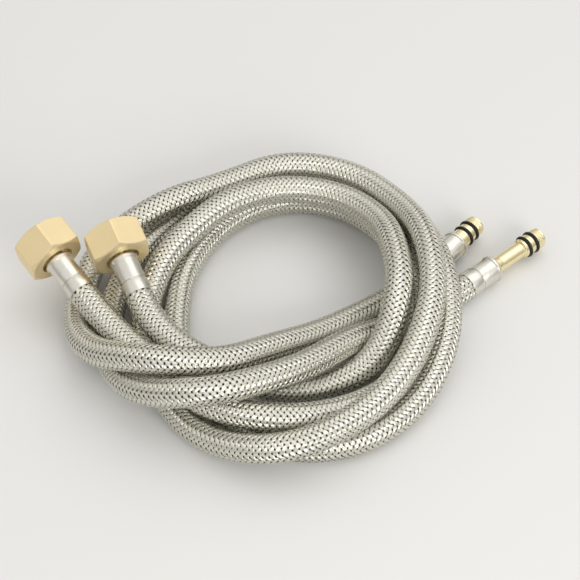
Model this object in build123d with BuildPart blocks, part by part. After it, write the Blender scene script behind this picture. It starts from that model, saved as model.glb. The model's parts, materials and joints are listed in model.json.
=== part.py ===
"""A pair of braided flexible tap hoses, lying loosely coiled together.

Each hose is a rubber liner in a stainless braid. One end has a loose hexagon nut on a flanged
insert, the other a turned brass tail with two O-rings, and a crimped ferrule grips each end.
Millimetres, +Z up. The hoses lie on Z = 0, with the origin below the middle of their fittings.
"""

import os
from math import cos, pi, radians, sin, tan

from build123d import *

# Braided hose
HOSE_D = 13.0  # over the braid
BRAID_T = 0.6  # one layer of the braid where a ferrule grips it

# Crimped ferrules: a sleeve over the braid, rolled outwards into a lip at its closed end
FERRULE_T = 0.5
GROOVE_W = 0.6  # rolled grooves round the sleeve
GROOVE_DEPTH = 0.3
NUT_FERRULE_D = 13.2
NUT_FERRULE_L = 21.6
NUT_FERRULE_GROOVE = 9.0  # middle of the groove, from the open end
NUT_LIP_D = 14.6
NUT_LIP_L = 1.9
NUT_FLARE_L = 0.8  # cone between the sleeve and the lip
NUT_LIP_ROUND = 1.0
TAIL_FERRULE_D = 13.4
TAIL_FERRULE_L = 17.4
TAIL_FERRULE_GROOVE = 6.3
TAIL_LIP_D = 14.0
TAIL_LIP_L = 1.4
TAIL_LIP_ROUND = 0.5

# Barbed stem inside each hose end
STEM_D = 6.2
BARB_D = 6.8
BARB_PITCH = 4.5
BARB_COUNT = 3
BORE_D = 4.6  # water way through the insert and the tail
STEM_NECK_D = 8.0  # where the closed end of a ferrule grips the stem
STEM_SETBACK = 1.0  # the stem stops this far inside the ferrule's open end

# Flanged insert and sealing washer inside the nut
FLANGE_D = 17.6
FLANGE_T = 2.2
WASHER_D = 18.4
WASHER_HOLE_D = 10.5
WASHER_T = 2.0

# Swivel nut for a G 1/2 thread
NUT_AF = 25.5
NUT_L = 15.0
NUT_EDGE_ROUND = 0.8
NUT_FACE_D = 24.5  # flat ring at each end, inside the bevel that takes off the corners
NUT_BEVEL_ANGLE = 60.0  # from the nut's axis
NUT_WALL_T = 2.2  # rear wall that pulls on the flange
REAR_HOLE_GAP = 0.5  # between the rear hole and the ferrule's lip, so that the nut spins free
THREAD_HOLE_D = 18.7
RELIEF_D = 19.6  # undercut round the flange and the washer, behind the thread
MOUTH_BEVEL = 0.8
SWIVEL_GAP = 0.2  # end play between the nut's rear wall and the flange

# Turned brass tails
O_RING_SECTION = 1.8
O_RING_D = 11.0
GROOVE_SIDE_GAP = 0.2  # each side of an O-ring in its groove
RING_PITCH = 4.5
RING_SETBACK = 6.0  # from the tail's tip to the middle of its outer O-ring
LAND_D = 9.4  # also the threaded tip's, which is M10 x 1 drawn plain at its mean diameter
LAND_L = 2.4  # from the land's edge to the middle of the inner O-ring
LAND_BEVEL_L = 0.6
TIP_BEVEL = 0.9
LONG_TAIL_L = 31.4  # from the ferrule to the tip
SHORT_TAIL_L = 16.2
COLLAR_D = 11.0  # the long tail narrows in two cones from its collar to its tube
WAIST_D = 8.8
WAIST_L = 1.4
TUBE_D = 7.6
TUBE_START = 4.2

# Lay of the hoses. Places are measured from the middle of the coil.
COIL_CENTRE = (-10.8, -20.2)
STATION_STEP = 24.0  # degrees round the coil from one station to the next
NUT_STRAIGHT = 18.0  # straight stretch of hose behind each nut's ferrule
TAIL_STRAIGHT = 22.0  # and behind each tail's ferrule

# Hose a: place of the braid's end, bearing and rise of the nut's axis, turn of its hexagon
NUT_PLACE_A = (-80.2, -7.8, 24.6)
NUT_AIM_A = (129, 14)
NUT_TURN_A = 20.0
FIRST_STATION_A = 228.0
STATIONS_A = [  # (radius, height) round the coil
    (65.2, 21), (70, 20), (74, 21), (73, 12), (75, 7), (73, 20), (68, 24), (72, 12),
    (75, 7), (69, 7), (58, 7), (48, 7), (42, 7), (40, 7), (44, 7), (51, 7),
    (63, 7), (80, 7), (88, 7), (89, 8), (88, 17), (84, 26), (86, 12), (90, 7),
    (84, 7), (76, 7), (69, 7), (68, 7), (71, 7), (77, 7), (81, 22), (75, 37),
]
RUN_OUT_A = [(6, -56, 32), (28, -34, 22), (54, -15, 7)]  # across the coil to the tail
TAIL_PLACE_A = (94.2, 12.4)
TAIL_BEARING_A = 40.0

# Hose b
NUT_PLACE_B = (-54.8, -10.7, 25.6)
NUT_AIM_B = (115, 15)
NUT_TURN_B = 25.0
FIRST_STATION_B = 252.0
STATIONS_B = [
    (50, 19.5), (50, 9), (54, 7), (63, 14), (63, 35), (61, 36), (66, 26), (68, 21),
    (63, 21), (55, 23), (50, 21), (51, 18), (54, 11), (59, 7), (67, 7), (80, 8),
    (90, 20), (84, 21), (79, 22), (78, 34), (76, 38), (80, 25), (85, 20), (81, 20),
    (71, 20), (72, 22), (85, 11), (87, 6), (87, 19), (73, 38), (56, 34),
]
RUN_OUT_B = [(3, -35, 26), (25, -19, 13), (47, -4, 7)]
TAIL_PLACE_B = (80.4, 26.2)
TAIL_BEARING_B = 50.0

os.makedirs("parts", exist_ok=True)


def from_coil(x, y, z):
    """A place measured from the middle of the coil."""
    return Vector(COIL_CENTRE[0] + x, COIL_CENTRE[1] + y, z)


def fitting_plane(place, bearing, rise):
    """Plane across a hose end, its normal pointing out of the hose along the fitting."""
    across = Vector(-sin(radians(bearing)), cos(radians(bearing)), 0)
    outward = Vector(
        cos(radians(rise)) * cos(radians(bearing)),
        cos(radians(rise)) * sin(radians(bearing)),
        sin(radians(rise)),
    )
    return Plane(origin=place, x_dir=across, z_dir=outward)


def profile_plane(end):
    """Plane through a fitting's axis: local X is the radius, local Y the distance outwards."""
    return Plane(origin=end.origin, x_dir=end.x_dir, z_dir=-end.y_dir)


def axis_of(end):
    return Axis(end.origin, end.z_dir)


def save(part, name):
    part.label = name
    export_step(part, f"parts/{name}.step")
    print(f"{name:18s} {part.volume:10.1f} mm3")


def hose_route(nut_end, tail_end, first_angle, stations, run_out):
    """Corner points of a hose's centre line, from its nut to its tail."""
    points = [nut_end.origin, nut_end.origin - nut_end.z_dir * NUT_STRAIGHT]
    for step, (radius, height) in enumerate(stations):
        angle = radians(first_angle + STATION_STEP * step)
        points.append(from_coil(radius * cos(angle), radius * sin(angle), height))
    points += [from_coil(*place) for place in run_out]
    points += [tail_end.origin - tail_end.z_dir * TAIL_STRAIGHT, tail_end.origin]
    return points


def bend_radii(points):
    """The largest arc that each corner's two runs leave room for."""
    radii = []
    for before, corner, after in zip(points, points[1:], points[2:]):
        run_in = corner - before
        run_out = after - corner
        half_turn = radians(run_in.get_angle(run_out)) / 2
        radii.append(0.45 * min(run_in.length, run_out.length) / tan(half_turn))
    return radii


def layer(outer_r, inner_r, grip_l):
    """Section of one layer of hose under a ferrule, as (radius, distance) corners."""
    return [(outer_r, 0), (outer_r, grip_l), (inner_r, grip_l), (inner_r, 0)]


def rolled_groove(sleeve_r, middle):
    """Corners of a rolled groove round a ferrule's sleeve."""
    return [
        (sleeve_r, middle - GROOVE_W / 2),
        (sleeve_r - GROOVE_DEPTH, middle),
        (sleeve_r, middle + GROOVE_W / 2),
    ]


def barbs(first, step):
    """Saw-tooth corners of a barbed stem, each tooth rising towards the fitting."""
    corners = []
    for tooth in range(BARB_COUNT):
        start = first + tooth * step
        corners += [(STEM_D / 2, start), (BARB_D / 2, start + step * 0.8), (STEM_D / 2, start + step * 0.8)]
    return corners


def make_hose(name, nut_end, tail_end, route):
    """Braid and liner as one plain tube, with the braid's gripped layer under each ferrule."""
    radii = bend_radii(route)
    with BuildPart() as hose:
        with BuildLine() as centre_line:
            FilletPolyline(*route, radius=radii)
        with BuildSketch(centre_line.line ^ 0):
            Circle(HOSE_D / 2)
        sweep()
        length = sum(edge.length for edge in centre_line.line.edges())
        swept = hose.part.volume
        for end, bore_r, grip_l in (
            (nut_end, NUT_BORE_R, NUT_GRIP_L),
            (tail_end, TAIL_BORE_R, TAIL_GRIP_L),
        ):
            with BuildSketch(profile_plane(end)):
                with BuildLine():
                    Polyline(*layer(bore_r, bore_r - BRAID_T, grip_l), close=True)
                make_face()
            revolve(axis=axis_of(end))
    save(hose.part, name)
    print(f"  centre line {length:.0f} mm, swept volume / (section x length) =", end=" ")
    print(f"{swept / (pi * HOSE_D**2 / 4 * length):.4f}")
    print("  bend radii", " ".join(f"{radius:.0f}" for radius in radii))


def make_liner(name, end, bore_r, grip_l):
    """The end of the rubber liner, squeezed between the barbs and the braid."""
    with BuildPart() as liner:
        with BuildSketch(profile_plane(end)):
            with BuildLine():
                Polyline(*layer(bore_r - BRAID_T, BARB_D / 2, grip_l), close=True)
            make_face()
        revolve(axis=axis_of(end))
    save(liner.part, name)


def make_nut_ferrule(name, end):
    sleeve_r = NUT_FERRULE_D / 2
    lip_start = NUT_FERRULE_L - NUT_LIP_L
    with BuildPart() as ferrule:
        with BuildSketch(profile_plane(end)) as wall:
            with BuildLine():
                Polyline(
                    (NUT_BORE_R, 0),
                    (sleeve_r, 0),
                    *rolled_groove(sleeve_r, NUT_FERRULE_GROOVE),
                    (sleeve_r, lip_start - NUT_FLARE_L),
                    (NUT_LIP_D / 2, lip_start),
                    (NUT_LIP_D / 2, NUT_FERRULE_L),
                    (STEM_NECK_D / 2, NUT_FERRULE_L),
                    (STEM_NECK_D / 2, NUT_GRIP_L),
                    (NUT_BORE_R, NUT_GRIP_L),
                    close=True,
                )
            make_face()
            rim = wall.vertices().group_by(Axis.Y)[-1].sort_by(Axis.X)[-1]
            fillet(rim, NUT_LIP_ROUND)
        revolve(axis=axis_of(end))
    save(ferrule.part, name)


def make_tail_ferrule(name, end):
    sleeve_r = TAIL_FERRULE_D / 2
    lip_start = TAIL_FERRULE_L - TAIL_LIP_L
    with BuildPart() as ferrule:
        with BuildSketch(profile_plane(end)) as wall:
            with BuildLine():
                Polyline(
                    (TAIL_BORE_R, 0),
                    (sleeve_r, 0),
                    *rolled_groove(sleeve_r, TAIL_FERRULE_GROOVE),
                    (sleeve_r, lip_start - GROOVE_W),
                    (sleeve_r - GROOVE_DEPTH, lip_start),
                    (TAIL_LIP_D / 2, lip_start),
                    (TAIL_LIP_D / 2, TAIL_FERRULE_L),
                    (STEM_NECK_D / 2, TAIL_FERRULE_L),
                    (STEM_NECK_D / 2, TAIL_GRIP_L),
                    (TAIL_BORE_R, TAIL_GRIP_L),
                    close=True,
                )
            make_face()
            rim = wall.vertices().group_by(Axis.Y)[-1].sort_by(Axis.X)[-1]
            fillet(rim, TAIL_LIP_ROUND)
        revolve(axis=axis_of(end))
    save(ferrule.part, name)


def make_insert(name, end):
    """Barbed stem with the flange that the nut pulls against its washer."""
    with BuildPart() as insert:
        with BuildSketch(profile_plane(end)):
            with BuildLine():
                Polyline(
                    (BORE_D / 2, STEM_SETBACK),
                    *barbs(STEM_SETBACK, BARB_PITCH),
                    (STEM_D / 2, NUT_GRIP_L),
                    (STEM_NECK_D / 2, NUT_GRIP_L),
                    (STEM_NECK_D / 2, FLANGE_REAR),
                    (FLANGE_D / 2, FLANGE_REAR),
                    (FLANGE_D / 2, FLANGE_REAR + FLANGE_T),
                    (BORE_D / 2, FLANGE_REAR + FLANGE_T),
                    close=True,
                )
            make_face()
        revolve(axis=axis_of(end))
    save(insert.part, name)


def make_washer(name, end):
    with BuildPart() as washer:
        with BuildSketch(end.offset(FLANGE_REAR + FLANGE_T)):
            Circle(WASHER_D / 2)
            Circle(WASHER_HOLE_D / 2, mode=Mode.SUBTRACT)
        extrude(amount=WASHER_T)
    save(washer.part, name)


def make_nut(name, end, turn):
    """Hexagon bevelled at both ends, with a rear hole round the ferrule and a threaded mouth."""
    mouth = NUT_REAR + NUT_L
    outside_r = NUT_AF / 2 / cos(radians(30)) + 1
    bevel_l = (outside_r - NUT_FACE_D / 2) / tan(radians(NUT_BEVEL_ANGLE))
    rear_hole_r = NUT_LIP_D / 2 + REAR_HOLE_GAP
    thread_r = THREAD_HOLE_D / 2
    thread_start = FLANGE_REAR + FLANGE_T + WASHER_T
    with BuildPart() as nut:
        with BuildSketch(end.offset(NUT_REAR)) as hexagon:
            RegularPolygon(NUT_AF / 2, 6, major_radius=False, rotation=turn)
            fillet(hexagon.vertices(), NUT_EDGE_ROUND)
        extrude(amount=NUT_L)
        with BuildSketch(profile_plane(end)):
            with BuildLine():
                Polyline(
                    (rear_hole_r, NUT_REAR),
                    (NUT_FACE_D / 2, NUT_REAR),
                    (outside_r, NUT_REAR + bevel_l),
                    (outside_r, mouth - bevel_l),
                    (NUT_FACE_D / 2, mouth),
                    (thread_r + MOUTH_BEVEL, mouth),
                    (thread_r, mouth - MOUTH_BEVEL),
                    (thread_r, thread_start),
                    (RELIEF_D / 2, thread_start),
                    (RELIEF_D / 2, NUT_REAR + NUT_WALL_T),
                    (rear_hole_r, NUT_REAR + NUT_WALL_T),
                    close=True,
                )
            make_face()
        revolve(axis=axis_of(end), mode=Mode.INTERSECT)
    save(nut.part, name)


def groove(middle):
    """Corners of an O-ring groove round a tail's land."""
    half = O_RING_SECTION / 2 + GROOVE_SIDE_GAP
    bottom = O_RING_D / 2 - O_RING_SECTION
    return [
        (LAND_D / 2, middle - half), (bottom, middle - half),
        (bottom, middle + half), (LAND_D / 2, middle + half),
    ]


def ring_places(length):
    """Distances of a tail's two O-rings, set back from its tip."""
    outer = TAIL_FERRULE_L + length - RING_SETBACK
    return [outer - RING_PITCH, outer]


def long_neck(first_ring):
    """Corners of the long tail's collar, waist and tube, up to its land."""
    land = first_ring - LAND_L
    return [
        (COLLAR_D / 2, TAIL_FERRULE_L),
        (WAIST_D / 2, TAIL_FERRULE_L + WAIST_L),
        (TUBE_D / 2, TAIL_FERRULE_L + TUBE_START),
        (TUBE_D / 2, land - LAND_BEVEL_L),
        (LAND_D / 2, land),
    ]


def make_tail(name, end, length, neck):
    """Turned brass tail: barbed stem, the given neck, two grooves and the threaded tip."""
    rings = ring_places(length)
    tip = TAIL_FERRULE_L + length
    with BuildPart() as tail:
        with BuildSketch(profile_plane(end)):
            with BuildLine():
                Polyline(
                    (BORE_D / 2, STEM_SETBACK),
                    *barbs(STEM_SETBACK, BARB_PITCH * TAIL_GRIP_L / NUT_GRIP_L),
                    (STEM_D / 2, TAIL_GRIP_L),
                    (STEM_NECK_D / 2, TAIL_GRIP_L),
                    (STEM_NECK_D / 2, TAIL_FERRULE_L),
                    *neck,
                    *groove(rings[0]),
                    *groove(rings[1]),
                    (LAND_D / 2, tip - TIP_BEVEL),
                    (LAND_D / 2 - TIP_BEVEL, tip),
                    (BORE_D / 2, tip),
                    close=True,
                )
            make_face()
        revolve(axis=axis_of(end))
    save(tail.part, name)


def make_o_ring(name, end, middle):
    with BuildPart() as o_ring:
        with BuildSketch(profile_plane(end)):
            with Locations(((O_RING_D - O_RING_SECTION) / 2, middle)):
                Circle(O_RING_SECTION / 2)
        revolve(axis=axis_of(end))
    save(o_ring.part, name)


# Bores of the ferrules, and distances along each fitting's axis from the end of the braid
NUT_BORE_R = NUT_FERRULE_D / 2 - FERRULE_T
TAIL_BORE_R = TAIL_FERRULE_D / 2 - FERRULE_T
NUT_GRIP_L = NUT_FERRULE_L - FERRULE_T
TAIL_GRIP_L = TAIL_FERRULE_L - FERRULE_T
NUT_REAR = NUT_FERRULE_L
FLANGE_REAR = NUT_REAR + NUT_WALL_T + SWIVEL_GAP
LONG_NECK = long_neck(ring_places(LONG_TAIL_L)[0])
SHORT_NECK = [(LAND_D / 2, TAIL_FERRULE_L)]


def tail_plane(place, bearing):
    """A tail lies level, with its ferrule's lip resting on the surface."""
    return fitting_plane(from_coil(*place, TAIL_LIP_D / 2), bearing, 0)


HOSES = [
    (
        "a",
        fitting_plane(from_coil(*NUT_PLACE_A), *NUT_AIM_A),
        NUT_TURN_A,
        tail_plane(TAIL_PLACE_A, TAIL_BEARING_A),
        (FIRST_STATION_A, STATIONS_A, RUN_OUT_A),
        (LONG_TAIL_L, LONG_NECK),
    ),
    (
        "b",
        fitting_plane(from_coil(*NUT_PLACE_B), *NUT_AIM_B),
        NUT_TURN_B,
        tail_plane(TAIL_PLACE_B, TAIL_BEARING_B),
        (FIRST_STATION_B, STATIONS_B, RUN_OUT_B),
        (SHORT_TAIL_L, SHORT_NECK),
    ),
]

for letter, nut_end, nut_turn, tail_end, lay, (tail_l, neck) in HOSES:
    make_hose(f"hose_{letter}", nut_end, tail_end, hose_route(nut_end, tail_end, *lay))
    make_liner(f"nut_liner_{letter}", nut_end, NUT_BORE_R, NUT_GRIP_L)
    make_nut_ferrule(f"nut_ferrule_{letter}", nut_end)
    make_insert(f"insert_{letter}", nut_end)
    make_washer(f"washer_{letter}", nut_end)
    make_nut(f"swivel_nut_{letter}", nut_end, nut_turn)
    make_liner(f"tail_liner_{letter}", tail_end, TAIL_BORE_R, TAIL_GRIP_L)
    make_tail_ferrule(f"tail_ferrule_{letter}", tail_end)
    make_tail(f"tail_{letter}", tail_end, tail_l, neck)
    for number, middle in enumerate(ring_places(tail_l), start=1):
        make_o_ring(f"o_ring_{letter}{number}", tail_end, middle)
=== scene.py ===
"""Weaves, finishes, lights and frames a pair of coiled flexible tap hoses."""

import json
import random
from math import atan2, ceil, cos, pi, radians, sin

import bmesh
import bpy
from bpy.props import FloatProperty, FloatVectorProperty, IntProperty, PointerProperty
from mathutils import Matrix, Vector


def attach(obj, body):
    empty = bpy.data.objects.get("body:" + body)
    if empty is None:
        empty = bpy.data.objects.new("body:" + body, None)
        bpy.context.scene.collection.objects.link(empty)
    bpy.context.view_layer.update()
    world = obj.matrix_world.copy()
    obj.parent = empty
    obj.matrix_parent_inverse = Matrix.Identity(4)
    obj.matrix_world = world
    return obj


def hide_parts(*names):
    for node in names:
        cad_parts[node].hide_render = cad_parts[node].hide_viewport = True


bl_info = {
    "name": "Braided tap hoses",
    "version": (1, 0, 0),
    "blender": (4, 5, 0),
    "location": "View3D > Sidebar > Tap hoses",
    "description": "Weaves and finishes a pair of coiled flexible tap hoses",
    "category": "Object",
}

MM = 0.001
SAME_PLACE = 1e-7  # in metres: two points that are nearer than this are one

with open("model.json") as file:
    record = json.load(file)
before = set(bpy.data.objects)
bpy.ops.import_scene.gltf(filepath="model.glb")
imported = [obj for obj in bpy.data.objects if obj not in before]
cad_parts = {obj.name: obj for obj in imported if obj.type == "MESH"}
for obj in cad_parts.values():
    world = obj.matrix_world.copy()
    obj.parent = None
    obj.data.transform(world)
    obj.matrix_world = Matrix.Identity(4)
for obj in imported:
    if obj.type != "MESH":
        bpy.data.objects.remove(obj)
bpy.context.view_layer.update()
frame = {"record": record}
MOUNTS = {mount["name"]: mount for mount in frame["record"]["mounts"]}

# Lay of the hoses, in millimetres from the middle of the coil and degrees round it. Each hose runs
# from its nut past its stations, which are (distance from the middle, height of the centre line) at
# even steps of angle, and its run out to its tail.
COIL_CENTRE = (-10.8, -20.2)
STATION_STEP = 24.0
NUT_STRAIGHT = 18.0  # how far a hose leaves its nut and its tail before it bends
TAIL_STRAIGHT = 22.0

HOSES = {
    "a": {
        "nut_place": (-80.2, -7.8, 24.6),
        "first_station": 228.0,
        "stations": [
            (65.2, 21), (70, 20), (74, 21), (73, 12), (75, 7), (73, 20), (68, 24), (72, 12),
            (75, 7), (69, 7), (58, 7), (48, 7), (42, 7), (40, 7), (44, 7), (51, 7),
            (63, 7), (80, 7), (88, 7), (88.5, 8), (86.7, 17), (82.5, 25.5), (86, 12), (90, 7),
            (84, 7), (76, 7), (69, 7), (68, 7), (71, 7), (77, 7), (81, 22), (75, 37),
        ],
        "run_out": [(5, -58, 30.5), (21, -46, 24.5), (39.5, -26.3, 16.2), (54, -14.5, 7)],
        "tail_place": (94.2, 12.4, 7),
    },
    "b": {
        "nut_place": (-54.8, -10.7, 25.6),
        "first_station": 252.0,
        "stations": [
            (50, 19.5), (50, 9), (54, 7), (63.2, 14), (63, 35), (61, 36), (66, 26), (68, 21),
            (63, 21), (55, 23), (50, 21), (51, 18), (54, 11), (59, 7), (67, 7), (80, 8),
            (90, 20), (84, 21), (79, 22), (78, 34), (76, 38), (80, 25), (85, 20), (81, 20),
            (69, 18.5), (70.5, 22.5), (85, 11), (87, 6), (87, 19), (73, 38), (56, 34),
        ],
        "run_out": [(3, -38, 25), (25, -21, 13), (47, -3.5, 7)],
        "tail_place": (80.4, 26.2, 7),
    },
}

# Crimped ferrules, in millimetres. Their lengths run from the hose's end towards the fitting.
FERRULES = {
    "nut": {
        "mouth": 2.0, "end": 21.6, "mouth_radius": 6.25, "body_radius": 6.0, "groove": 6.4,
        "lip_radius": 6.6, "lip_length": 1.9, "flare": 0.8, "lip_round": 0.7,
    },
    "tail": {
        "mouth": 0.0, "end": 17.4, "mouth_radius": 6.25, "body_radius": 5.95, "groove": 6.6,
        "lip_radius": 6.5, "lip_length": 1.4, "flare": 0.15, "lip_round": 0.45,
    },
}


class BraidSizes(bpy.types.PropertyGroup):
    """Sizes of the hose and its wire braid."""

    hose_diameter: FloatProperty(
        name="Hose diameter", description="Over the braid",
        default=13.0 * MM, unit="LENGTH",
    )
    pitch: FloatProperty(
        name="Pitch", description="Length of hose in one turn of a carrier",
        default=30.0 * MM, unit="LENGTH",
    )
    carriers: IntProperty(
        name="Carriers", description="Bands of wire that wind each way",
        default=12, min=4,
    )
    band_width: FloatProperty(
        name="Band width", description="Mean width of one carrier's band of wires",
        default=1.59 * MM, unit="LENGTH",
    )
    band_swing: FloatProperty(
        name="Band swing",
        description="Share by which a band spreads over a crossing and draws in between two",
        default=0.22,
    )
    band_thickness: FloatProperty(
        name="Band thickness", description="Thickness of a band",
        default=0.25 * MM, unit="LENGTH",
    )
    weave_depth: FloatProperty(
        name="Weave depth", description="How far a band dives below the ones it passes under",
        default=0.4 * MM, unit="LENGTH",
    )
    wires: IntProperty(
        name="Wires", description="Wires side by side in a band",
        default=6, min=1,
    )
    liner_radius: FloatProperty(
        name="Liner radius", description="Of the rubber tube inside the braid",
        default=5.5 * MM, unit="LENGTH",
    )


class FinishColours(bpy.types.PropertyGroup):
    """Colours of the metals, the rubber and the floor."""

    wire: FloatVectorProperty(
        name="Wire", description="Stainless wire of the braid",
        default=(0.82, 0.80, 0.71), subtype="COLOR",
    )
    steel: FloatVectorProperty(
        name="Ferrule steel", description="Satin stainless ferrules",
        default=(0.75, 0.725, 0.66), subtype="COLOR",
    )
    nut_brass: FloatVectorProperty(
        name="Nut brass", description="Pale satin brass of the nuts",
        default=(0.89, 0.73, 0.43), subtype="COLOR",
    )
    tail_brass: FloatVectorProperty(
        name="Tail brass", description="Bright turned brass of the tails and the inserts",
        default=(0.98, 0.84, 0.52), subtype="COLOR",
    )
    rubber: FloatVectorProperty(
        name="Rubber", description="Black rubber of the liners, the washers and the O-rings",
        default=(0.012, 0.013, 0.012), subtype="COLOR",
    )
    floor: FloatVectorProperty(
        name="Floor", description="Pale floor",
        default=(0.74, 0.735, 0.725), subtype="COLOR",
    )


class TapHoses(bpy.types.PropertyGroup):
    """Sizes and colours of the tap hoses that a user can change."""

    braid: PointerProperty(type=BraidSizes)
    colours: PointerProperty(type=FinishColours)


# ---------------------------------------------------------------- nodes and materials


def add_node(tree, kind, inputs=None, **settings):
    """A shader node with its settings, and its inputs set to values or linked to sockets."""
    node = tree.nodes.new(kind)
    for name, value in settings.items():
        setattr(node, name, value)
    for name, value in (inputs or {}).items():
        if isinstance(value, bpy.types.NodeSocket):
            tree.links.new(value, node.inputs[name])
        else:
            node.inputs[name].default_value = value
    return node


def use_group(tree, name, **inputs):
    """One of the scene's own node groups, with its inputs set to values or linked to sockets."""
    given = {socket.replace("_", " "): value for socket, value in inputs.items()}
    return add_node(tree, "ShaderNodeGroup", given, node_tree=bpy.data.node_groups[name])


def maths(tree, operation, first, second=0.0):
    return add_node(tree, "ShaderNodeMath", {0: first, 1: second}, operation=operation).outputs[0]


def blend_colours(tree, factor, first, second):
    mix = add_node(tree, "ShaderNodeMix", {0: factor, 6: first, 7: second}, data_type="RGBA")
    return mix.outputs[2]


def between(tree, value, low, high):
    """The value, from 0 to 1, stretched to run from low to high."""
    spread = add_node(tree, "ShaderNodeMapRange", {"Value": value, "To Min": low, "To Max": high})
    return spread.outputs["Result"]


def raised(tree, height, strength, distance, **inputs):
    """The normal of a surface that is raised by a height."""
    inputs |= {"Height": height, "Strength": strength, "Distance": distance}
    return add_node(tree, "ShaderNodeBump", inputs).outputs["Normal"]


def new_group(name, inputs, outputs):
    """A shader node group with named inputs, each with its default, and named outputs."""
    group = bpy.data.node_groups.new(name, "ShaderNodeTree")
    for socket, kind, value in inputs:
        made = group.interface.new_socket(socket, in_out="INPUT", socket_type=kind)
        if value is not None:
            made.default_value = value
    for socket, kind in outputs:
        group.interface.new_socket(socket, in_out="OUTPUT", socket_type=kind)
    return group, group.nodes.new("NodeGroupInput"), group.nodes.new("NodeGroupOutput")


def make_handling_group():
    """Soft patches and fine specks of handling, as a mask and a height."""
    group, given, result = new_group(
        "Handling",
        [
            ("Vector", "NodeSocketVector", None),
            ("Patch Scale", "NodeSocketFloat", 90.0),
            ("Speck Scale", "NodeSocketFloat", 1400.0),
        ],
        [("Patches", "NodeSocketFloat"), ("Specks", "NodeSocketFloat")],
    )
    patches = add_node(
        group, "ShaderNodeTexNoise",
        {"Vector": given.outputs["Vector"], "Scale": given.outputs["Patch Scale"], "Detail": 3.0},
    )
    specks = add_node(
        group, "ShaderNodeTexNoise",
        {"Vector": given.outputs["Vector"], "Scale": given.outputs["Speck Scale"], "Detail": 4.0},
    )
    group.links.new(patches.outputs["Fac"], result.inputs["Patches"])
    group.links.new(specks.outputs["Fac"], result.inputs["Specks"])


def make_turning_group():
    """Fine rings left round an axis by a lathe or a crimping tool, as a height."""
    group, given, result = new_group(
        "Turning Marks",
        [
            ("Vector", "NodeSocketVector", None),
            ("Axis", "NodeSocketVector", (0.0, 0.0, 1.0)),
            ("Scale", "NodeSocketFloat", 2500.0),
        ],
        [("Height", "NodeSocketFloat")],
    )
    along = add_node(
        group, "ShaderNodeVectorMath",
        {0: given.outputs["Vector"], 1: given.outputs["Axis"]}, operation="DOT_PRODUCT",
    )
    rings = add_node(
        group, "ShaderNodeTexNoise",
        {"W": along.outputs["Value"], "Scale": given.outputs["Scale"], "Detail": 3.0},
        noise_dimensions="1D",
    )
    group.links.new(rings.outputs["Fac"], result.inputs["Height"])


def make_edge_group():
    """A painted highlight along edges, as a mask, and the eased normal that they shade with."""
    group, given, result = new_group(
        "Painted Edge Highlight",
        [("Radius", "NodeSocketFloat", 0.0002)],
        [("Mask", "NodeSocketFloat"), ("Normal", "NodeSocketVector")],
    )
    eased = add_node(group, "ShaderNodeBevel", {"Radius": given.outputs["Radius"]}, samples=4)
    flat = add_node(group, "ShaderNodeNewGeometry").outputs["True Normal"]
    turned = add_node(
        group, "ShaderNodeVectorMath",
        {0: eased.outputs["Normal"], 1: flat}, operation="DOT_PRODUCT",
    )
    # painted highlight: the mask picks out the edges, which the metal paints pale
    mask = add_node(
        group, "ShaderNodeMapRange",
        {"Value": turned.outputs["Value"], "From Min": 0.99, "From Max": 0.9},
    )
    group.links.new(mask.outputs["Result"], result.inputs["Mask"])
    group.links.new(eased.outputs["Normal"], result.inputs["Normal"])


def new_material(name, **values):
    """A material with a Principled BSDF set to the given values."""
    material = bpy.data.materials.new(name)
    material.use_nodes = True
    shader = material.node_tree.nodes["Principled BSDF"]
    for socket, value in values.items():
        shader.inputs[socket.replace("_", " ")].default_value = value
    return material, material.node_tree, shader


def set_surface(tree, shader, colour, roughness, normal):
    """Links what changes over a surface to its shader."""
    for socket, source in (("Base Color", colour), ("Roughness", roughness), ("Normal", normal)):
        tree.links.new(source, shader.inputs[socket])


def object_coordinates(tree):
    """Places on a piece, which its patterns follow."""
    return add_node(tree, "ShaderNodeTexCoord").outputs["Object"]


def shaded(colour, amount):
    """The colour made lighter or darker, with a full alpha."""
    return tuple(min(1.0, part * amount) for part in colour) + (1.0,)


def braid_material(colours, sizes):
    """Stainless wires side by side in each band, with painted shade in the grooves."""
    material, tree, shader = new_material("Braid wire", Metallic=1.0)
    band_map = add_node(tree, "ShaderNodeUVMap", uv_map="Band").outputs["UV"]
    across = add_node(tree, "ShaderNodeSeparateXYZ", {"Vector": band_map}).outputs["Y"]
    wire = maths(tree, "MULTIPLY", across, float(sizes.wires))
    crown = maths(tree, "ABSOLUTE", maths(tree, "SINE", maths(tree, "MULTIPLY", wire, pi)))
    handling = use_group(
        tree, "Handling", Vector=object_coordinates(tree), Patch_Scale=60.0, Speck_Scale=1800.0
    )
    handling_and_edge_highlight = blend_colours(
        tree, handling.outputs["Patches"], shaded(colours.wire, 0.94), shaded(colours.wire, 1.06)
    )
    # painted shade: the grooves between the wires get a darker copy of the wire colour
    groove = shaded(colours.wire, 0.55)
    set_surface(
        tree, shader,
        colour=blend_colours(tree, between(tree, crown, 0.62, 1.0), groove, handling_and_edge_highlight),
        roughness=between(tree, handling.outputs["Specks"], 0.17, 0.34),
        normal=raised(tree, crown, 0.6, 0.12 * MM),
    )
    return material


def rubber_material(name, colour, roughness):
    """Black rubber with a faint mould bloom."""
    material, tree, shader = new_material(name, Specular_IOR_Level=0.25)
    handling = use_group(tree, "Handling", Vector=object_coordinates(tree))
    patches, specks = handling.outputs["Patches"], handling.outputs["Specks"]
    set_surface(
        tree, shader,
        colour=blend_colours(tree, patches, shaded(colour, 0.8), shaded(colour, 1.6)),
        roughness=between(tree, specks, roughness - 0.08, roughness + 0.1),
        normal=raised(tree, specks, 0.25, 0.05 * MM),
    )
    return material


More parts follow.
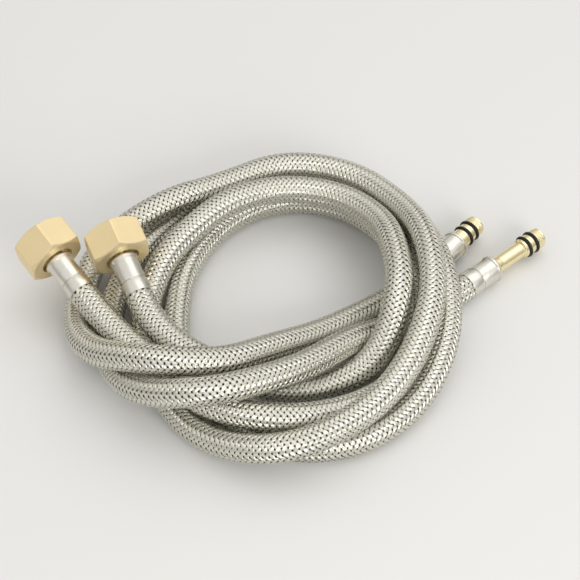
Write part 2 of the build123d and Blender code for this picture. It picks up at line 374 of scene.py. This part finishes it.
def metal_material(
    name, colour, axis, roughness, ring_scale, ring_depth, edge, dents=0.0, metallic=1.0
):
    """Turned or drawn metal: rings round its axis, patches, specks, dents and a painted highlight
    on eased edges.
    """
    material, tree, shader = new_material(name, Metallic=metallic)
    coordinates = object_coordinates(tree)
    handling = use_group(tree, "Handling", Vector=coordinates)
    turning = use_group(tree, "Turning Marks", Vector=coordinates, Axis=axis, Scale=ring_scale)
    handling_and_edge_highlight = use_group(tree, "Painted Edge Highlight", Radius=edge)
    patches, specks = handling.outputs["Patches"], handling.outputs["Specks"]
    rings = turning.outputs["Height"]
    tone = blend_colours(tree, patches, shaded(colour, 0.92), shaded(colour, 1.06))
    # painted highlight: a pale copy of the colour, laid along the edges
    pale = tuple(0.5 + 0.5 * part for part in colour) + (1.0,)
    marks = maths(
        tree, "ADD", maths(tree, "MULTIPLY", specks, 0.5), maths(tree, "MULTIPLY", rings, 0.5)
    )
    hollows = add_node(
        tree, "ShaderNodeTexNoise", {"Vector": coordinates, "Scale": 330.0, "Detail": 1.0}
    )
    normal = raised(tree, hollows.outputs["Fac"], 1.0, dents, Normal=handling_and_edge_highlight.outputs["Normal"])
    normal = raised(tree, rings, 0.5, ring_depth, Normal=normal)
    normal = raised(tree, specks, 0.35, 0.03 * MM, Normal=normal)
    set_surface(
        tree, shader,
        colour=blend_colours(tree, handling_and_edge_highlight.outputs["Mask"], tone, pale),
        roughness=between(tree, marks, roughness - 0.1, roughness + 0.1),
        normal=normal,
    )
    return material


# ---------------------------------------------------------------- pieces


def dress(piece, material):
    """Gives a piece, or a CAD node by name, one material."""
    shape = bpy.data.objects[piece] if isinstance(piece, str) else piece
    shape.data.materials.clear()
    shape.data.materials.append(material)


def set_out(name, data, at=(0.0, 0.0, 0.0)):
    """Puts a new object with the data into the scene."""
    thing = bpy.data.objects.new(name, data)
    thing.location = at
    bpy.context.scene.collection.objects.link(thing)
    return thing


def mesh_piece(name, work):
    """Puts the bmesh's shape into the scene and frees the bmesh."""
    mesh = bpy.data.meshes.new(name)
    work.to_mesh(mesh)
    work.free()
    return set_out(name, mesh)


def stand_on_axis(work, centre, axis):
    """Moves a bmesh that was made round Z to its centre, and turns it on to its axis."""
    turn = Vector(axis).to_track_quat("Z", "Y").to_matrix().to_4x4()
    bmesh.ops.transform(work, matrix=Matrix.Translation(centre) @ turn, verts=work.verts)


# ---------------------------------------------------------------- the hose's route

CURVE_ORDER = 3
CURVE_STEPS = 20  # from one control point to the next


def from_coil(x, y, z):
    """The place, in metres, that lies so many millimetres from the coil's middle."""
    return Vector((COIL_CENTRE[0] + x, COIL_CENTRE[1] + y, z)) * MM


def hose_route(letter):
    """Control points of a hose's centre line, in metres, from its nut to its tail."""
    hose = HOSES[letter]
    start = from_coil(*hose["nut_place"])
    end = from_coil(*hose["tail_place"])
    nut_axis = Vector(MOUNTS[f"nut_{letter}_thread"]["axis"])
    tail_axis = Vector(MOUNTS[f"tail_{letter}_thread"]["axis"])
    points = [start, start - nut_axis * NUT_STRAIGHT * MM]
    for step, (radius, height) in enumerate(hose["stations"]):
        angle = radians(hose["first_station"] + STATION_STEP * step)
        points.append(from_coil(radius * cos(angle), radius * sin(angle), height))
    points += [from_coil(*place) for place in hose["run_out"]]
    points += [end - tail_axis * TAIL_STRAIGHT * MM, end]
    return points


def route_curve(name, points):
    """A smooth curve that has the points as its control points."""
    curve = bpy.data.curves.new(name, "CURVE")
    curve.dimensions = "3D"
    spline = curve.splines.new("NURBS")
    spline.points.add(len(points) - 1)
    for point, place in zip(spline.points, points):
        point.co = (*place, 1.0)
    spline.order_u = CURVE_ORDER
    spline.use_endpoint_u = True
    curve.resolution_u = CURVE_STEPS
    spline.resolution_u = CURVE_STEPS
    return set_out(name, curve)


class CentreLine:
    """The curve's own line, with a frame that never twists, to be read at any distance."""

    def __init__(self, curve):
        bpy.context.view_layer.update()
        mesh = bpy.data.meshes.new_from_object(curve)
        places = [vertex.co.copy() for vertex in mesh.vertices]
        bpy.data.meshes.remove(mesh)
        self.places = [places[0]]
        self.distances = [0.0]
        for place in places[1:]:
            gap = (place - self.places[-1]).length
            if gap > SAME_PLACE:
                self.places.append(place)
                self.distances.append(self.distances[-1] + gap)
        self.length = self.distances[-1]
        count = len(self.places)
        self.tangents = [
            (self.places[min(k + 1, count - 1)] - self.places[max(k - 1, 0)]).normalized()
            for k in range(count)
        ]
        side = self.tangents[0].orthogonal().normalized()
        self.sides = [side]
        for before, after in zip(self.tangents, self.tangents[1:]):
            side = before.rotation_difference(after) @ side
            side = (side - after * side.dot(after)).normalized()
            self.sides.append(side)

    def rows(self, step_length, before, after):
        """Distance, place, tangent, side and up at even steps, running past both ends."""
        made = []
        near = 0
        first = -ceil(before / step_length)
        last = ceil((self.length + after) / step_length)
        for step in range(first, last + 1):
            distance = step * step_length
            inside = min(max(distance, 0.0), self.length)
            while near < len(self.distances) - 2 and self.distances[near + 1] < inside:
                near += 1
            start, end = self.distances[near:near + 2]
            share = (inside - start) / (end - start)
            place = self.places[near].lerp(self.places[near + 1], share)
            tangent = self.tangents[near].lerp(self.tangents[near + 1], share).normalized()
            side = self.sides[near].lerp(self.sides[near + 1], share).normalized()
            place = place + tangent * (distance - inside)
            made.append((distance, place, tangent, side, tangent.cross(side)))
        return made


# ---------------------------------------------------------------- operators

LINER_ROUNDNESS = 4
GRIPPED_SHARE = 0.85  # of its radius, at the ends that the fittings grip


class TAPHOSES_OT_liners(bpy.types.Operator):
    """Lay the rubber liners along the hoses' routes"""

    bl_idname = "taphoses.liners"
    bl_label = "Liners"

    def execute(self, context):
        settings = context.scene.tap_hoses
        rubber = rubber_material("Liner rubber", settings.colours.rubber, 0.7)
        for letter in HOSES:
            liner = route_curve(f"liner_{letter}", hose_route(letter))
            length = CentreLine(liner).length
            liner.data.bevel_depth = settings.braid.liner_radius
            liner.data.bevel_resolution = LINER_ROUNDNESS
            liner.data.use_fill_caps = True
            for end in (0, -1):
                liner.data.splines[0].points[end].radius = GRIPPED_SHARE
            dress(liner, rubber)
            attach(liner, "hoses")
            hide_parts(f"hose_{letter}")
            hose_route(letter)[0]
        return {"FINISHED"}


# A band's section, once round: share of its half width, and share of its thickness above its middle
BAND_SECTION = [(-1.0, -0.2), (-0.5, 0.35), (0.5, 0.35), (1.0, -0.2), (-1.0, -0.2)]
BAND_SINK = 0.4  # share of a band's thickness that its middle keeps below the hose's outside
STEPS_PER_TURN = 48  # four steps from one crossing to the next but one
WAVE_GAIN = 1.35  # over 1, it levels a band's wave where it lies over or under
WAVE_OFFSET = 0.5  # of a crossing: a band changes level halfway between two crossings
CARRIER_DRIFT = 0.03  # share of the room between two carriers by which one may wander
WANDER_SEEDS = {1: 31, -1: 57}  # for the bands that wind to the right and to the left
OVERRUN = 2.0 * MM  # the braid runs this far into each ferrule
SQUEEZE_LENGTH = 1.8 * MM  # in which it narrows before a ferrule's mouth
SQUEEZED_RADIUS = 5.5 * MM


def squeeze(distance, length, radius):
    """Radius of the braid, which narrows as it goes into a ferrule."""
    from_nut = distance + FERRULES["nut"]["mouth"] * MM
    from_tail = length - distance + FERRULES["tail"]["mouth"] * MM
    near = min(max(min(from_nut, from_tail) / SQUEEZE_LENGTH, 0.0), 1.0)
    return SQUEEZED_RADIUS + (radius - SQUEEZED_RADIUS) * (1 - (1 - near) ** 3)


def band_level(way, carrier, crossing):
    """Level of a band, from -1 under the others to 1 over them, at a count of crossings."""
    if way > 0:
        level = cos(pi / 2 * (crossing + 2 * carrier - WAVE_OFFSET))
    else:
        level = -cos(pi / 2 * (2 * carrier - crossing - WAVE_OFFSET))
    return min(max(level * WAVE_GAIN, -1.0), 1.0)


def weave_bands(name, line, sizes, way):
    """All the bands that wind one way round a hose, over two and under two of the others."""
    rows = line.rows(
        sizes.pitch / STEPS_PER_TURN,
        OVERRUN + FERRULES["nut"]["mouth"] * MM,
        OVERRUN + FERRULES["tail"]["mouth"] * MM,
    )
    steps = len(rows) - 1
    corners = len(BAND_SECTION)
    crossings = 2 * sizes.carriers
    hose_radius = sizes.hose_diameter / 2
    middle_radius = hose_radius - BAND_SINK * sizes.band_thickness - sizes.weave_depth / 2
    lay = atan2(2 * pi * middle_radius, sizes.pitch)
    wander = random.Random(WANDER_SEEDS[way])
    band = bmesh.new()
    band_map = band.loops.layers.uv.new("Band")
    for carrier in range(sizes.carriers):
        drift = wander.uniform(-CARRIER_DRIFT, CARRIER_DRIFT)
        swing = wander.uniform(0, 2 * pi)
        made = bmesh.ops.create_grid(
            band, x_segments=steps, y_segments=corners - 1, size=1.0
        )["verts"]
        for vertex in made:
            step = round((vertex.co.x + 1) / 2 * steps)
            corner = round((vertex.co.y + 1) / 2 * (corners - 1))
            share, lift = BAND_SECTION[corner]
            distance, place, tangent, side, up = rows[step]
            crossing = crossings * distance / sizes.pitch
            level = band_level(way, carrier, crossing)
            radius = middle_radius + level * sizes.weave_depth / 2 + lift * sizes.band_thickness
            radius *= squeeze(distance, line.length, hose_radius) / hose_radius
            spread = 1 + sizes.band_swing * cos(2 * pi * crossing)
            off = share * spread * sizes.band_width / 2
            strayed = carrier + drift * sin(distance / sizes.pitch + swing)
            angle = 2 * pi * strayed / sizes.carriers
            angle += way * (2 * pi * distance / sizes.pitch) + off * cos(lay) / middle_radius
            vertex.co = (
                place
                - tangent * (way * off * sin(lay))
                + side * (radius * cos(angle))
                + up * (radius * sin(angle))
            )
            vertex.index = step * corners + corner
        for face in {face for vertex in made for face in vertex.link_faces}:
            for loop in face.loops:
                step, corner = divmod(loop.vert.index, corners)
                share = BAND_SECTION[corner][0]
                loop[band_map].uv = (rows[step][0] / sizes.band_width, (share + 1) / 2)
                if abs(share) == 1 and loop.link_loop_next.vert.index % corners == corner:
                    loop.edge.smooth = False
            face.smooth = True
    bmesh.ops.remove_doubles(band, verts=band.verts, dist=SAME_PLACE)
    ends = [edge for edge in band.edges if edge.is_boundary]
    bmesh.ops.holes_fill(band, edges=ends, sides=6)
    bmesh.ops.recalc_face_normals(band, faces=band.faces)
    return mesh_piece(name, band)


class TAPHOSES_OT_braids(bpy.types.Operator):
    """Weave the stainless braid over both hoses"""

    bl_idname = "taphoses.braids"
    bl_label = "Braids"

    def execute(self, context):
        settings = context.scene.tap_hoses
        wire = braid_material(settings.colours, settings.braid)
        for letter in HOSES:
            route = route_curve(f"route_{letter}", hose_route(letter))
            line = CentreLine(route)
            bpy.data.objects.remove(route)
            for way, word in ((1, "right"), (-1, "left")):
                braid = weave_bands(f"braid_{word}_{letter}", line, settings.braid, way)
                dress(braid, wire)
                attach(braid, "hoses")
                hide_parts(f"hose_{letter}")
        return {"FINISHED"}


# What all ferrules share, in millimetres
FERRULE_BORE = 5.55
FERRULE_WALL = 0.5
NECK_RADIUS = 4.0  # where the closed end grips the stem
GROOVE_DEPTH = 0.33
GROOVE_HALF = 0.3  # half its width

LIP_STEPS = 4  # in the round of the closed end
CRIMP_SIDES = 96
CREASE_ANGLE = 0.7  # in radians: a ferrule's edges that turn by more stay sharp


def ferrule_profile(
    mouth, end, mouth_radius, body_radius, groove, lip_radius, lip_length, flare, lip_round
):
    """Radii and heights of a ferrule's wall, once round its section, with eased corners."""
    floor = body_radius - GROOVE_DEPTH
    middle = mouth + groove
    lip = end - lip_length
    profile = [
        (FERRULE_BORE, mouth + 0.12),
        (FERRULE_BORE + 0.12, mouth),
        (mouth_radius - 0.2, mouth),
        (mouth_radius - 0.06, mouth + 0.06),
        (mouth_radius, mouth + 0.22),
        (mouth_radius, middle - GROOVE_HALF - 0.1),
        (mouth_radius - 0.05, middle - GROOVE_HALF),
        (floor, middle - 0.2),
        (floor, middle + 0.2),
        (body_radius - 0.05, middle + GROOVE_HALF),
        (body_radius, middle + GROOVE_HALF + 0.1),
        (body_radius, lip - flare - 0.3),
        (body_radius + 0.05, lip - flare),
        (lip_radius - 0.1, lip - 0.05),
        (lip_radius, lip + 0.2),
    ]
    for step in range(LIP_STEPS + 1):
        turn = pi / 2 * step / LIP_STEPS
        profile.append(
            (lip_radius - lip_round * (1 - cos(turn)), end - lip_round * (1 - sin(turn)))
        )
    profile += [
        (NECK_RADIUS, end),
        (NECK_RADIUS, end - FERRULE_WALL),
        (FERRULE_BORE, end - FERRULE_WALL),
    ]
    return profile


def revolved(name, profile, centre, axis):
    """A ring with the given section, in millimetres, spun round an axis from its centre."""
    ring = bmesh.new()
    corners = [ring.verts.new((radius * MM, 0, height * MM)) for radius, height in profile]
    edges = [ring.edges.new((corners[k - 1], corners[k])) for k in range(len(corners))]
    bmesh.ops.spin(
        ring, geom=[*corners, *edges], cent=(0, 0, 0), axis=(0, 0, 1), angle=2 * pi,
        steps=CRIMP_SIDES, use_merge=True, use_duplicate=False,
    )
    bmesh.ops.remove_doubles(ring, verts=ring.verts, dist=SAME_PLACE)
    bmesh.ops.recalc_face_normals(ring, faces=ring.faces)
    for face in ring.faces:
        face.smooth = True
    for edge in ring.edges:
        edge.smooth = edge.calc_face_angle(0.0) < CREASE_ANGLE
    stand_on_axis(ring, centre, axis)
    return mesh_piece(name, ring)


class TAPHOSES_OT_ferrules(bpy.types.Operator):
    """Crimp the satin stainless ferrules on to the hoses' ends"""

    bl_idname = "taphoses.ferrules"
    bl_label = "Ferrules"

    def execute(self, context):
        colours = context.scene.tap_hoses.colours
        for letter in HOSES:
            for end in ("nut", "tail"):
                axis = MOUNTS[f"{end}_{letter}_thread"]["axis"]
                steel = metal_material(
                    f"Ferrule steel {end} {letter}", colours.steel, axis,
                    roughness=0.32, ring_scale=1800.0, ring_depth=0.02 * MM, edge=0.15 * MM,
                    dents=0.14 * MM,
                )
                ferrule = revolved(
                    f"crimped_{end}_ferrule_{letter}",
                    ferrule_profile(**FERRULES[end]),
                    from_coil(*HOSES[letter][f"{end}_place"]),
                    axis,
                )
                dress(ferrule, steel)
                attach(ferrule, "hoses")
                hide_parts(f"{end}_ferrule_{letter}")
        return {"FINISHED"}


class TAPHOSES_OT_nuts(bpy.types.Operator):
    """Finish the swivel nuts and the inserts inside them"""

    bl_idname = "taphoses.nuts"
    bl_label = "Nuts and inserts"

    def execute(self, context):
        colours = context.scene.tap_hoses.colours
        for letter in HOSES:
            axis = MOUNTS[f"nut_{letter}_thread"]["axis"]
            nut = metal_material(
                f"Nut brass {letter}", colours.nut_brass, axis,
                roughness=0.45, ring_scale=900.0, ring_depth=0.01 * MM, edge=0.4 * MM,
                metallic=0.75,
            )
            dress(f"swivel_nut_{letter}", nut)
            insert = metal_material(
                f"Insert brass {letter}", colours.tail_brass, axis,
                roughness=0.28, ring_scale=3000.0, ring_depth=0.03 * MM, edge=0.1 * MM,
            )
            dress(f"insert_{letter}", insert)
        return {"FINISHED"}


class TAPHOSES_OT_tails(bpy.types.Operator):
    """Finish the turned brass tails"""

    bl_idname = "taphoses.tails"
    bl_label = "Tails"

    def execute(self, context):
        colours = context.scene.tap_hoses.colours
        for letter in HOSES:
            axis = MOUNTS[f"tail_{letter}_thread"]["axis"]
            brass = metal_material(
                f"Tail brass {letter}", colours.tail_brass, axis,
                roughness=0.24, ring_scale=3000.0, ring_depth=0.03 * MM, edge=0.12 * MM,
            )
            dress(f"tail_{letter}", brass)
        return {"FINISHED"}


class TAPHOSES_OT_seals(bpy.types.Operator):
    """Finish the O-rings, the washers and the gripped ends of the liners"""

    bl_idname = "taphoses.seals"
    bl_label = "Seals"

    def execute(self, context):
        colours = context.scene.tap_hoses.colours
        ring = rubber_material("O-ring rubber", colours.rubber, 0.42)
        washer = rubber_material("Washer rubber", shaded(colours.rubber, 1.6)[:3], 0.6)
        for letter in HOSES:
            for number in (1, 2):
                dress(f"o_ring_{letter}{number}", ring)
            dress(f"washer_{letter}", washer)
            for end in ("nut", "tail"):
                dress(f"{end}_liner_{letter}", washer)
        return {"FINISHED"}


# Height and pitch of each thread's ridge, in millimetres. A nut's stands inwards.
THREADS = {"nut": (-0.45, 1.81), "tail": (0.25, 1.0)}
THREAD_STEPS = 40  # in each turn
THREAD_ROOT = 0.15  # share of a ridge's height by which it is sunk into the metal
HALF_ROOT, HALF_CREST = 0.42, 0.06  # half widths of a ridge, as shares of its pitch
PLAIN_PITCHES = 0.9  # what a thread leaves plain of its length, in pitches


def thread_ridge(name, centre, axis, radius, height, pitch, length):
    """A helical ridge round an axis, standing out from the radius by the height."""
    turns = length / pitch
    root = radius - THREAD_ROOT * height
    crest = radius + height
    section = [(root, -HALF_ROOT), (crest, -HALF_CREST), (crest, HALF_CREST), (root, HALF_ROOT)]
    ridge = bmesh.new()
    corners = [ridge.verts.new((r, 0, -length / 2 + share * pitch)) for r, share in section]
    loop = [ridge.edges.new((corners[k], corners[(k + 1) % 4])) for k in range(4)]
    start = ridge.faces.new(corners)
    bmesh.ops.spin(
        ridge,
        geom=[*corners, *loop, start],
        cent=(0, 0, 0),
        axis=(0, 0, 1),
        dvec=(0, 0, pitch / THREAD_STEPS),
        angle=2 * pi * turns,
        steps=round(turns * THREAD_STEPS),
        use_duplicate=False,
    )
    bmesh.ops.recalc_face_normals(ridge, faces=ridge.faces)
    stand_on_axis(ridge, centre, axis)
    return mesh_piece(name, ridge)


class TAPHOSES_OT_threads(bpy.types.Operator):
    """Cut the nuts' inner threads and the tails' tip threads"""

    bl_idname = "taphoses.threads"
    bl_label = "Threads"

    def execute(self, context):
        for letter in HOSES:
            for end, body, owner in (
                ("nut", f"nut_{letter}", f"swivel_nut_{letter}"),
                ("tail", "hoses", f"tail_{letter}"),
            ):
                mount = MOUNTS[f"{end}_{letter}_thread"]
                height, pitch = THREADS[end]
                thread = thread_ridge(
                    f"{end}_thread_{letter}",
                    Vector(mount["pos_m"]),
                    mount["axis"],
                    mount["dims"]["r_mm"] * MM,
                    height * MM,
                    pitch * MM,
                    mount["dims"]["length_mm"] * MM - pitch * MM * PLAIN_PITCHES,
                )
                dress(thread, bpy.data.objects[owner].data.materials[0])
                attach(thread, body)
        return {"FINISHED"}


# Where the camera looks, and from how far, how high and through what lens
LOOK_AT = Vector((1.2, -4.2, 0.0)) * MM
CAMERA_DISTANCE = 741 * MM
CAMERA_ELEVATION = 50.0
LENS = 97.7
SENSOR = 36.0
NEAREST_SEEN = 0.05

FLOOR_REACH = 4.0  # from its middle to its sides
FLOOR_DROP = 0.05 * MM  # keeps the floor just clear of the hoses
HORIZON = (0.36, 0.345, 0.315, 1.0)
ZENITH = (1.0, 0.99, 0.965, 1.0)
ZENITH_FROM = 0.7  # upward part of the direction from which the sky is as light as overhead
SKY_STRENGTH = 0.9

# Square lamps that face the middle of the floor: name, place and side in metres, power in watts
LAMPS = (
    ("key", (0.6, 0.4, 1.4), 1.5, 5.0),
    ("window", (0.6, -1.05, 0.6), 0.6, 7.0),
)


def lay_floor(colour):
    """A wide pale floor under the hoses."""
    plane = bmesh.new()
    bmesh.ops.create_grid(plane, x_segments=2, y_segments=2, size=FLOOR_REACH)
    floor = mesh_piece("floor", plane)
    floor.location.z = -FLOOR_DROP
    material, _, shader = new_material("Floor card", Roughness=0.85, Specular_IOR_Level=0.12)
    shader.inputs["Base Color"].default_value = (*colour, 1.0)
    dress(floor, material)


def studio_world():
    """A room that is darker at the horizon than overhead."""
    world = bpy.data.worlds.new("Studio")
    world.use_nodes = True
    sky = world.node_tree
    direction = add_node(sky, "ShaderNodeTexCoord").outputs["Generated"]
    upward = add_node(sky, "ShaderNodeSeparateXYZ", {"Vector": direction}).outputs["Z"]
    height = add_node(
        sky, "ShaderNodeMapRange",
        {"Value": upward, "From Max": ZENITH_FROM}, interpolation_type="SMOOTHSTEP",
    )
    backdrop = blend_colours(sky, height.outputs["Result"], HORIZON, ZENITH)
    sky.links.new(backdrop, sky.nodes["Background"].inputs["Color"])
    sky.nodes["Background"].inputs["Strength"].default_value = SKY_STRENGTH
    return world


def hang_lamp(name, place, side, power):
    """A square lamp that faces the middle of the floor."""
    light = bpy.data.lights.new(name, "AREA")
    light.size = side
    light.energy = power
    lamp = set_out(name, light, place)
    lamp.rotation_mode = "QUATERNION"
    lamp.rotation_quaternion = (-Vector(place)).to_track_quat("-Z", "Y")


def aimed_camera():
    """The camera, level from side to side and looking down at the hoses."""
    rise = radians(CAMERA_ELEVATION)
    back = Vector((0.0, -cos(rise), sin(rise)))
    camera = set_out("camera", bpy.data.cameras.new("camera"), LOOK_AT + back * CAMERA_DISTANCE)
    camera.rotation_euler = (radians(90 - CAMERA_ELEVATION), 0.0, 0.0)
    camera.data.sensor_width = SENSOR
    camera.data.lens = LENS
    camera.data.clip_start = NEAREST_SEEN
    return camera


class TAPHOSES_OT_stage(bpy.types.Operator):
    """Set up the floor, the soft studio light and the camera"""

    bl_idname = "taphoses.stage"
    bl_label = "Stage"

    def execute(self, context):
        scene = context.scene
        lay_floor(scene.tap_hoses.colours.floor)
        scene.world = studio_world()
        for lamp in LAMPS:
            hang_lamp(*lamp)
        scene.camera = aimed_camera()
        scene.view_settings.view_transform = "Standard"
        return {"FINISHED"}


class TAPHOSES_PT_panel(bpy.types.Panel):
    """Sidebar panel that lists the steps in order"""

    bl_idname = "TAPHOSES_PT_panel"
    bl_label = "Tap hoses"
    bl_space_type = "VIEW_3D"
    bl_region_type = "UI"
    bl_category = "Tap hoses"

    def draw(self, context):
        settings = context.scene.tap_hoses
        for group in (settings.braid, settings.colours):
            for name in group.__annotations__:
                self.layout.prop(group, name)
        for operator in OPERATORS:
            self.layout.operator(operator.bl_idname)


OPERATORS = (
    TAPHOSES_OT_stage,
    TAPHOSES_OT_ferrules,
    TAPHOSES_OT_liners,
    TAPHOSES_OT_braids,
    TAPHOSES_OT_nuts,
    TAPHOSES_OT_tails,
    TAPHOSES_OT_seals,
    TAPHOSES_OT_threads,
)
CLASSES = (BraidSizes, FinishColours, TapHoses, *OPERATORS, TAPHOSES_PT_panel)


def register():
    for kind in CLASSES:
        bpy.utils.register_class(kind)
    bpy.types.Scene.tap_hoses = PointerProperty(type=TapHoses)


def unregister():
    del bpy.types.Scene.tap_hoses
    for kind in reversed(CLASSES):
        bpy.utils.unregister_class(kind)


def main():
    register()
    make_handling_group()
    make_turning_group()
    make_edge_group()
    bpy.ops.taphoses.stage()
    bpy.ops.taphoses.ferrules()
    bpy.ops.taphoses.liners()
    bpy.ops.taphoses.braids()
    bpy.ops.taphoses.nuts()
    bpy.ops.taphoses.tails()
    bpy.ops.taphoses.seals()
    bpy.ops.taphoses.threads()


if __name__ == "__main__":
    main()
